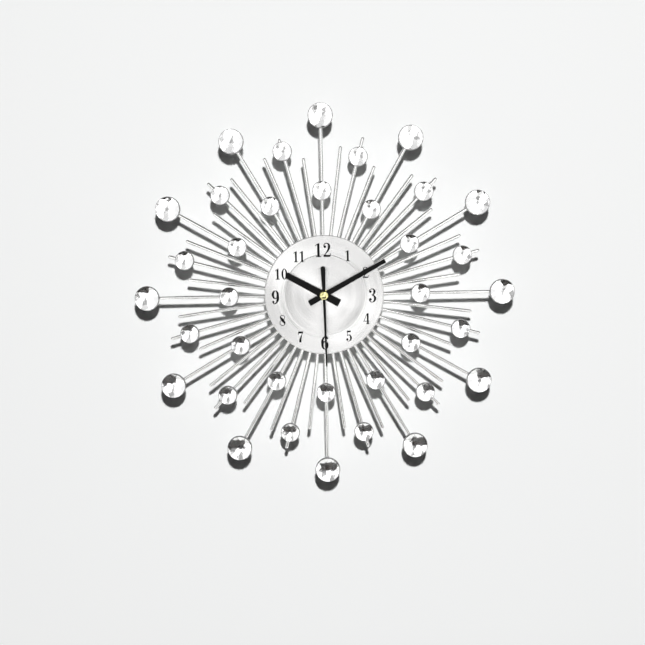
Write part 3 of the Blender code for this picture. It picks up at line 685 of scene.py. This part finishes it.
def curve_through(stations, steps=10):
    """Points and widths on a smooth curve through (x, y, width) stations."""
    out = []
    count = len(stations)
    for i in range(count - 1):
        p0 = Vector(stations[max(i - 1, 0)])
        p1, p2 = Vector(stations[i]), Vector(stations[i + 1])
        p3 = Vector(stations[min(i + 2, count - 1)])
        for k in range(steps):
            t = k / steps
            out.append(
                0.5 * (2 * p1 + (p2 - p0) * t + (2 * p0 - 5 * p1 + 4 * p2 - p3) * t ** 2
                       + (3 * p1 - p0 - 3 * p2 + p3) * t ** 3)
            )
    out.append(Vector(stations[-1]))
    return out


def stroke_edges(path):
    """The two edges of a pen stroke whose width changes along it."""
    left, right = [], []
    for i, spot in enumerate(path):
        ahead = path[min(i + 1, len(path) - 1)] - path[max(i - 1, 0)]
        across = Vector((-ahead.y, ahead.x)).normalized() * spot.z / 2
        left.append((spot.x + across.x, spot.y + across.y))
        right.append((spot.x - across.x, spot.y - across.y))
    return left, right


def stroke(*stations):
    """A swelling pen stroke as a closed outline."""
    left, right = stroke_edges(curve_through(stations))
    return left + right[::-1]


def ball(x, y, radius):
    """The round blob that ends a stroke."""
    turns = [math.tau * i / 20 for i in range(20)]
    return [(x + radius * math.cos(t), y + radius * math.sin(t)) for t in turns]


def bowl(x, y, wide, high, thick, thin):
    """A closed oval with thick sides and thin top and bottom, as two rings of points."""
    turns = [math.tau * i / 40 for i in range(40)]
    outer = [(x + wide * math.cos(t), y + high * math.sin(t)) for t in turns]
    inner = [(x + (wide - thick) * math.cos(t), y + (high - thin) * math.sin(t)) for t in turns]
    return outer, inner


# Each figure is a list of shapes in a cell one unit high, in the style of a high-contrast book
# face. A stroke's stations are x, y and its width there.
THICK = 0.17
THIN = 0.06
FIGURE_GAP = 0.16
FIGURE_WIDTH = {
    "0": 0.56, "1": 0.4, "2": 0.54, "3": 0.56, "4": 0.56,
    "5": 0.56, "6": 0.56, "7": 0.52, "8": 0.6, "9": 0.56,
}


def six():
    return [
        bowl(0.28, 0.31, 0.26, 0.31, THICK, THIN),
        stroke((0.48, 0.84, THIN), (0.38, 0.965, THIN), (0.22, 0.88, 0.1),
               (0.11, 0.66, THICK), (0.105, 0.4, THICK), (0.13, 0.26, THICK * 0.8)),
        ball(0.44, 0.82, 0.08),
    ]


def half_turn(shapes, width):
    """The shapes turned half way round in their cell."""
    def spin(points):
        return [(width - x, 1.0 - y) for x, y in points]
    return [
        tuple(map(spin, shape)) if isinstance(shape, tuple) else spin(shape) for shape in shapes
    ]


FIGURES = {
    "0": [bowl(0.28, 0.5, 0.27, 0.5, THICK, THIN)],
    "1": [
        [(0.14, 0.0), (0.31, 0.0), (0.31, 1.0), (0.27, 1.0), (0.14, 0.92)],
        stroke((0.0, 0.81, THIN), (0.1, 0.87, THIN), (0.2, 0.95, 0.06)),
        [(0.03, 0.0), (0.42, 0.0), (0.42, THIN), (0.03, THIN)],
    ],
    "2": [
        ball(0.13, 0.73, 0.095),
        stroke((0.055, 0.77, THIN), (0.1, 0.92, THIN), (0.25, 0.975, THIN),
               (0.39, 0.9, 0.12), (0.43, 0.73, THICK), (0.37, 0.5, 0.13),
               (0.21, 0.27, 0.07), (0.08, 0.11, THIN), (0.04, 0.03, THIN)),
        [(0.015, 0.0), (0.49, 0.0), (0.51, 0.11), (0.14, 0.13)],
        stroke((0.49, 0.05, 0.06), (0.51, 0.14, 0.05), (0.52, 0.24, THIN)),
    ],
    "3": [
        ball(0.13, 0.78, 0.09),
        stroke((0.055, 0.8, THIN), (0.12, 0.93, THIN), (0.26, 0.975, THIN),
               (0.39, 0.9, 0.11), (0.42, 0.76, THICK), (0.35, 0.6, 0.09), (0.22, 0.53, THIN)),
        stroke((0.22, 0.53, THIN), (0.38, 0.48, 0.1), (0.46, 0.28, THICK),
               (0.39, 0.1, 0.11), (0.25, 0.025, THIN), (0.1, 0.08, THIN), (0.045, 0.2, THIN)),
        ball(0.12, 0.22, 0.095),
    ],
    "4": [
        [(0.32, 1.0), (0.48, 1.0), (0.48, 0.0), (0.32, 0.0)],
        [(0.32, 1.0), (0.38, 1.0), (0.07, 0.3), (0.0, 0.27)],
        [(0.0, 0.25), (0.56, 0.25), (0.56, 0.25 + THIN), (0.0, 0.25 + THIN)],
        [(0.22, 0.0), (0.56, 0.0), (0.56, THIN), (0.22, THIN)],
    ],
    "5": [
        [(0.1, 1.0), (0.1, 0.83), (0.42, 0.84), (0.5, 0.99)],
        [(0.1, 0.97), (0.1 + THIN, 0.97), (0.09 + THIN, 0.5), (0.09, 0.5)],
        stroke((0.1, 0.51, THIN), (0.2, 0.595, THIN), (0.37, 0.56, 0.11),
               (0.46, 0.34, THICK), (0.39, 0.11, 0.11), (0.24, 0.025, THIN),
               (0.1, 0.07, THIN), (0.045, 0.18, THIN)),
        ball(0.12, 0.2, 0.095),
    ],
    "6": six(),
    "7": [
        [(0.03, 0.82), (0.45, 0.83), (0.52, 0.99), (0.07, 1.0)],
        [(0.02, 0.7), (0.02 + THIN, 0.7), (0.11, 0.99), (0.05, 0.99)],
        stroke((0.49, 0.96, THIN), (0.38, 0.7, THIN), (0.28, 0.42, 0.14),
               (0.23, 0.16, 0.2), (0.23, 0.0, 0.2)),
    ],
    "8": [
        bowl(0.3, 0.755, 0.22, 0.245, THIN, THIN),
        bowl(0.3, 0.275, 0.27, 0.275, THIN, THIN),
        stroke((0.13, 0.88, THIN), (0.15, 0.74, 0.16), (0.3, 0.53, 0.24),
               (0.45, 0.33, 0.19), (0.5, 0.14, THIN)),
    ],
    "9": half_turn(six(), FIGURE_WIDTH["9"]),
}


def outline_rings(bm, points, scale, origin, front):
    """A closed outline as two rings, sunk INK into the dial and standing INK off it."""
    places = [(origin[0] + x * scale, origin[1] + y * scale) for x, y in points]
    low = [bm.verts.new(point(x, z, front - INK)) for x, z in places]
    high = [bm.verts.new(point(x, z, front + INK)) for x, z in places]
    return low, high


def shape_object(name, shape, scale, origin, front):
    """A solid of one shape: an outline, or a pair of them where it has a hole."""
    bm = bmesh.new()
    if isinstance(shape, tuple):
        low, high = outline_rings(bm, shape[0], scale, origin, front)
        inner_low, inner_high = outline_rings(bm, shape[1], scale, origin, front)
        skin(bm, low, high)
        skin(bm, high, inner_high)
        skin(bm, inner_high, inner_low)
        skin(bm, inner_low, low)
    else:
        low, high = outline_rings(bm, shape, scale, origin, front)
        skin(bm, low, high)
        bm.faces.new(low[::-1])
        bm.faces.new(high)
    bmesh.ops.recalc_face_normals(bm, faces=bm.faces)
    mesh = bpy.data.meshes.new(name)
    bm.to_mesh(mesh)
    bm.free()
    item = bpy.data.objects.new(name, mesh)
    bpy.context.scene.collection.objects.link(item)
    return item


def build_numeral(hour, front):
    """One hour figure, its strokes joined into one printed shape."""
    text = str(hour)
    scale = LARGE_FIGURE if hour % 3 == 0 else SMALL_FIGURE
    width = (sum(FIGURE_WIDTH[mark] for mark in text) + FIGURE_GAP * (len(text) - 1)) * scale
    x, z = polar(1.0, 30.0 * hour)
    pen = x * HOUR_RING[0] + HOUR_RING_CENTRE[0] - width / 2
    foot = z * HOUR_RING[1] + HOUR_RING_CENTRE[1] - scale / 2
    parts = []
    for mark in text:
        for shape in FIGURES[mark]:
            parts.append(shape_object(f"stroke_{hour}", shape, scale, (pen, foot), front))
        pen += (FIGURE_WIDTH[mark] + FIGURE_GAP) * scale
    first = parts[0]
    for other in parts[1:]:
        union = first.modifiers.new("union", "BOOLEAN")
        union.operation = "UNION"
        union.object = other
        union.solver = "EXACT"
    bpy.context.view_layer.update()
    evaluated = first.evaluated_get(bpy.context.evaluated_depsgraph_get())
    joined = bpy.data.meshes.new_from_object(evaluated)
    for part in parts:
        bpy.data.objects.remove(part)
    joined.materials.clear()
    joined.materials.append(INK_BLACK)
    numeral = bpy.data.objects.new(f"numeral_{hour:02d}", joined)
    bpy.context.scene.collection.objects.link(numeral)
    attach(numeral, "clock")


# --- Hands -----------------------------------------------------------------------------------


def add_blade(bm, outline, back, front, chamfer):
    """A flat blade with a narrow chamfer round its front."""
    count = len(outline)
    inset = []
    for i, corner in enumerate(outline):
        here = Vector(corner)
        a = (here - Vector(outline[i - 1])).normalized()
        b = (Vector(outline[(i + 1) % count]) - here).normalized()
        normal = (Vector((-a.y, a.x)) + Vector((-b.y, b.x))).normalized()
        reach = chamfer / max(normal.dot(Vector((-a.y, a.x))), 0.3)
        inset.append(tuple(here + normal * reach))
    low = [bm.verts.new(point(x, z, back)) for x, z in outline]
    side = [bm.verts.new(point(x, z, front - chamfer * 0.5)) for x, z in outline]
    high = [bm.verts.new(point(x, z, front)) for x, z in inset]
    skin(bm, low, side)
    skin(bm, side, high)
    bm.faces.new(low[::-1])
    bm.faces.new(high)


def build_hand(name, body, angle, outline, chamfer):
    """Replaces a CAD hand with a chamfered one at the same depth, turned to the same place."""
    low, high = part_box(name)
    bm = bmesh.new()
    add_blade(bm, outline, -high.y, -low.y, chamfer)
    bmesh.ops.transform(bm, matrix=Matrix.Rotation(math.radians(angle), 4, "Y"), verts=bm.verts)
    finish_piece(f"{name}_blade", bm, [BLACK], body, [name], crease=20.0)


def straight_blade(length, tail, root, tip):
    """Corners of a straight hand that points at 12, anticlockwise as drawn."""
    return [(root / 2, -tail), (tip / 2, length), (-tip / 2, length), (-root / 2, -tail)]


def needle(length, tail):
    """The second hand: a narrow blunt tip, and a counterweight with a round end."""
    radius = COUNTERWEIGHT_RADIUS
    turns = [math.pi * k / 8 - math.pi for k in range(9)]
    outline = [(radius * math.cos(t), radius - tail + radius * math.sin(t)) for t in turns]
    right = [(1.5 * MM, -4.0 * MM), (1.35 * MM, 4.0 * MM), (0.7 * MM, length)]
    return outline + right + [(-x, y) for x, y in reversed(right)]


def build_hands():
    hour, minute = straight_blade(*HOUR_HAND), straight_blade(*MINUTE_HAND)
    build_hand("hour_hand", "hours", HOUR_ANGLE, hour, HAND_CHAMFER)
    build_hand("minute_hand", "minutes", MINUTE_ANGLE, minute, HAND_CHAMFER)
    build_hand("second_hand", "seconds", SECOND_ANGLE, needle(*SECOND_HAND), SECOND_CHAMFER)


def build_hand_cap():
    """The turned brass button over the second hand's pipe."""
    low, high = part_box("second_hand_cap")
    radius = high.x
    back, front = -high.y, -low.y
    skirt = back + 0.5 * MM
    ease = 0.15 * MM
    dome = [
        (radius * math.cos(t), skirt + (front - skirt) * math.sin(t))
        for t in quarter_arc(14, last=False)
    ]
    profile = [(0.0, back), (radius - ease, back), (radius, back + ease), *dome, (0.0, front)]
    bm = bmesh.new()
    turn_profile(bm, profile, 96)
    finish_piece("hand_cap", bm, [BRASS], "seconds", ["second_hand_cap"])


# --- Movement --------------------------------------------------------------------------------

# CAD nodes that stay: their material, and how far their edges are eased, in millimetres
CAD_LOOKS = {
    "rubber_washer": (RUBBER, 0.15),
    "fixing_nut": (BRASS, 0.25),
    "movement_case": (CASE_PLASTIC, 0.25),
    "movement_back_cover": (COVER_PLASTIC, 0.15),
    "setting_knob": (KNOB_PLASTIC, 0.12),
    "seconds_wheel": (GEAR_PLASTIC, 0.0),
    "intermediate_wheel": (GEAR_PLASTIC, 0.0),
    "third_wheel": (GEAR_PLASTIC, 0.0),
    "centre_wheel": (GEAR_PLASTIC, 0.0),
    "minute_wheel": (GEAR_PLASTIC, 0.0),
    "hour_wheel": (GEAR_PLASTIC, 0.0),
    "rotor": (MAGNET, 0.0),
    "stator": (IRON, 0.08),
    "coil": (COPPER, 0.08),
    "circuit_board": (BOARD, 0.05),
    "battery_contact_positive": (NICKEL, 0.05),
    "battery_contact_negative": (NICKEL, 0.05),
}


def dress_cad_nodes():
    """Gives the CAD pieces that stay their materials, and eases their edges."""
    for name, (material, edge) in CAD_LOOKS.items():
        node = NODES[name]
        node.data.materials.clear()
        node.data.materials.append(material)
        if edge:
            bevel = node.modifiers.new("eased_edges", "BEVEL")
            bevel.width = edge * MM
            bevel.segments = 2
            bevel.limit_method = "ANGLE"
            bevel.angle_limit = math.radians(50.0)
            bevel.harden_normals = True


def build_battery():
    """An AA cell: a printed wrap rolled over its shoulders, and bright ends."""
    low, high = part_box("battery")
    radius = (high.z - low.z) / 2
    height, depth = (high.z + low.z) / 2, (high.y + low.y) / 2
    left, right = low.x, high.x
    fold, lip, step = 0.9 * MM, 0.1 * MM, 0.3 * MM
    inner, shoulder = radius - fold, right - 1.0 * MM
    arc = quarter_arc(6)
    base = [(0.0, left), (4.6 * MM, left), (4.8 * MM, left + step), (5.6 * MM, left + step)]
    wrap = [(inner + fold * math.sin(t), left + lip + fold * (1 - math.cos(t))) for t in arc]
    wrap += [(inner + fold * math.cos(t), shoulder - fold * (1 - math.sin(t))) for t in arc]
    wrapped = (wrap[0][1], wrap[-1][1])
    top = [(5.2 * MM, shoulder), (5.0 * MM, shoulder - step), (2.75 * MM, shoulder - step)]
    top += [(2.7 * MM, right - 0.4 * MM), (2.4 * MM, right), (0.0, right)]
    bm = bmesh.new()
    turn_profile(bm, base + wrap + top, 64)
    lie = Matrix.Rotation(math.radians(90.0), 4, "Z")
    lie.translation = (0.0, depth, height)
    bmesh.ops.transform(bm, matrix=lie, verts=bm.verts)
    piece = finish_piece(
        "battery_cell", bm, [CELL_METAL, WRAP], "battery", ["battery"])
    for face in piece.data.polygons:
        distance = math.hypot(face.center.y - depth, face.center.z - height)
        inside = wrapped[0] <= face.center.x <= wrapped[1] and distance > radius - 1.3 * MM
        face.material_index = 1 if inside else 0


# --- Stage -----------------------------------------------------------------------------------


def flat_card(name, size, location, tilt, material):
    """A stage plane. It lies flat and faces up, and then tilts about its width."""
    mesh = bpy.data.meshes.new(name)
    w, h = size[0] / 2, size[1] / 2
    mesh.from_pydata([(-w, -h, 0), (w, -h, 0), (w, h, 0), (-w, h, 0)], [], [(0, 1, 2, 3)])
    mesh.materials.append(material)
    card = bpy.data.objects.new(name, mesh)
    card.location = location
    card.rotation_euler = (math.radians(tilt), 0.0, 0.0)
    bpy.context.scene.collection.objects.link(card)
    return card


def one_sided_wall():
    """Pale paint in front, made lighter low down as painted light, and clear from behind, so
    that the clock's back can be seen.
    """
    look = Shader("pale_wall_painted_light", (0.9, 0.905, 0.903), 0.0, 1.0, Specular_IOR_Level=0.0)
    split = look.add("ShaderNodeSeparateXYZ")
    look.links.new(look.place(), split.inputs["Vector"])
    # Painted light: the paint lightens towards the bottom to even out the key lamp's falloff
    # there
    height = look.spread(split.outputs["Y"], 0.0, 1.0, *PAINTED_LIGHT_FADE)
    look.drive("Base Color", look.mix(height, LOW_PAINT_PAINTED_LIGHTER, HIGH_PAINT))
    clear = look.add("ShaderNodeBsdfTransparent")
    side = look.add("ShaderNodeNewGeometry")
    choose = look.add("ShaderNodeMixShader")
    look.links.new(side.outputs["Backfacing"], choose.inputs["Fac"])
    look.links.new(look.shader.outputs["BSDF"], choose.inputs[1])
    look.links.new(clear.outputs["BSDF"], choose.inputs[2])
    output = look.nodes["Material Output"]
    look.links.new(choose.outputs["Shader"], output.inputs["Surface"])
    return look.material


def softbox(name, width, height, power, location):
    """An area lamp aimed at the middle of the clock. It isn't seen by the camera."""
    lamp = bpy.data.lights.new(name, "AREA")
    lamp.shape = "RECTANGLE"
    lamp.size = width
    lamp.size_y = height
    lamp.energy = power
    holder = bpy.data.objects.new(name, lamp)
    holder.location = location
    holder.rotation_euler = (-Vector(location)).to_track_quat("-Z", "Y").to_euler()
    holder.visible_camera = False
    bpy.context.scene.collection.objects.link(holder)
    return holder


def build_key():
    """A small lamp above the camera that is as bright on the whole wall."""
    lamp = bpy.data.lights.new("key", "POINT")
    lamp.shadow_soft_size = KEY_RADIUS
    lamp.energy = KEY_STRENGTH
    lamp.use_nodes = True
    nodes, links = lamp.node_tree.nodes, lamp.node_tree.links
    falloff = nodes.new("ShaderNodeLightFalloff")
    falloff.inputs["Strength"].default_value = 1.0
    links.new(falloff.outputs["Constant"], nodes["Emission"].inputs["Strength"])
    holder = bpy.data.objects.new("key", lamp)
    holder.location = KEY_PLACE
    holder.visible_camera = False
    holder.visible_glossy = False
    holder.visible_transmission = False
    bpy.context.scene.collection.objects.link(holder)


def link_back_lamp(lamp):
    """Lets the back lamp reach the movement through the wall, and nothing else."""
    names = ("movement_case", "movement_back_cover", "setting_knob", "battery_cell", "hub_disc")
    lit = bpy.data.collections.new("lit_from_behind")
    blockers = bpy.data.collections.new("back_lamp_blockers")
    for name in names:
        lit.objects.link(bpy.data.objects[name])
        blockers.objects.link(bpy.data.objects[name])
    lamp.light_linking.receiver_collection = lit
    lamp.light_linking.blocker_collection = blockers


def build_cards():
    """The wall, the floor, and the flag that only stones and metal show."""
    flat_card("wall", WALL_SIZE, (0.0, WALL_GAP, 1.0), 90.0, one_sided_wall())
    floor = Shader("pale_floor", (0.82, 0.82, 0.81), 0.0, 0.7).material
    ground = flat_card("floor", FLOOR_SIZE, (0.0, 0.0, FLOOR_HEIGHT), 0.0, floor)
    ground.visible_diffuse = False
    flag = Shader("dark_flag", (0.02, 0.018, 0.016), 0.0, 0.9)
    patches = flag.spread(flag.noise(flag.place(), 7.0, 1.0), 0.0, 1.0, 0.45, 0.6)
    flag.drive("Base Color", flag.mix(patches, (0.004, 0.004, 0.004), (0.035, 0.024, 0.018)))
    card = flat_card("flag", FLAG_SIZE, FLAG_PLACE, FLAG_TILT, flag.material)
    card.visible_camera = False
    card.visible_shadow = False
    card.visible_diffuse = False


def build_world():
    """A pale backdrop behind everything, which only the camera sees."""
    world = bpy.data.worlds.new("studio")
    world.use_nodes = True
    background = world.node_tree.nodes["Background"]
    background.inputs["Color"].default_value = WORLD_COLOUR
    background.inputs["Strength"].default_value = WORLD_STRENGTH
    for kind in ("diffuse", "glossy", "transmission", "scatter"):
        setattr(world.cycles_visibility, kind, False)
    bpy.context.scene.world = world


def build_lamps():
    """The key lamp, the panels that metal and stones reflect, the fill and the back lamp."""
    build_key()
    upright = Matrix.Rotation(math.radians(90.0), 4, "X")
    for name, width, height, brightness, x, y, z, turn in REFLECTED_PANELS:
        power = brightness * math.pi * width * height
        panel = softbox(name, width, height, power, (x, y, z))
        facing = upright @ Matrix.Rotation(math.radians(turn), 4, "Z")
        panel.rotation_euler = facing.to_euler()
        panel.visible_diffuse = False
    softbox("fill", *FILL_LAMP).visible_glossy = False
    link_back_lamp(softbox("back", *BACK_LAMP))


def build_stage():
    build_cards()
    build_world()
    build_lamps()


def build_camera():
    """Stands a little right of the dial and above it, and turns to the photograph's framing."""
    dial_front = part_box("dial")[0].y
    azimuth, elevation = math.radians(CAMERA_AZIMUTH), math.radians(CAMERA_ELEVATION)
    back = Vector((
        math.sin(azimuth) * math.cos(elevation),
        -math.cos(azimuth) * math.cos(elevation),
        math.sin(elevation),
    ))
    data = bpy.data.cameras.new("camera")
    data.sensor_width = SENSOR
    data.lens = FOCAL_LENGTH
    data.clip_start = 0.01
    data.clip_end = 50.0
    camera = bpy.data.objects.new("camera", data)
    camera.location = Vector((0.0, dial_front, 0.0)) + back * CAMERA_DISTANCE
    aim = Vector((CAMERA_AIM[0], dial_front, CAMERA_AIM[1]))
    facing = (aim - camera.location).to_track_quat("-Z", "Y").to_matrix().to_4x4()
    roll = Matrix.Rotation(math.radians(CAMERA_ROLL), 4, "Z")
    camera.matrix_world = Matrix.Translation(camera.location) @ facing @ roll
    bpy.context.scene.collection.objects.link(camera)
    bpy.context.scene.camera = camera


bpy.context.scene.view_settings.view_transform = "Standard"
build_camera()
build_sunburst()
build_gems()
DIAL_FRONT = build_dial()
for clock_hour in range(1, 13):
    build_numeral(clock_hour, DIAL_FRONT)
build_hands()
build_hand_cap()
dress_cad_nodes()
build_battery()
build_stage()
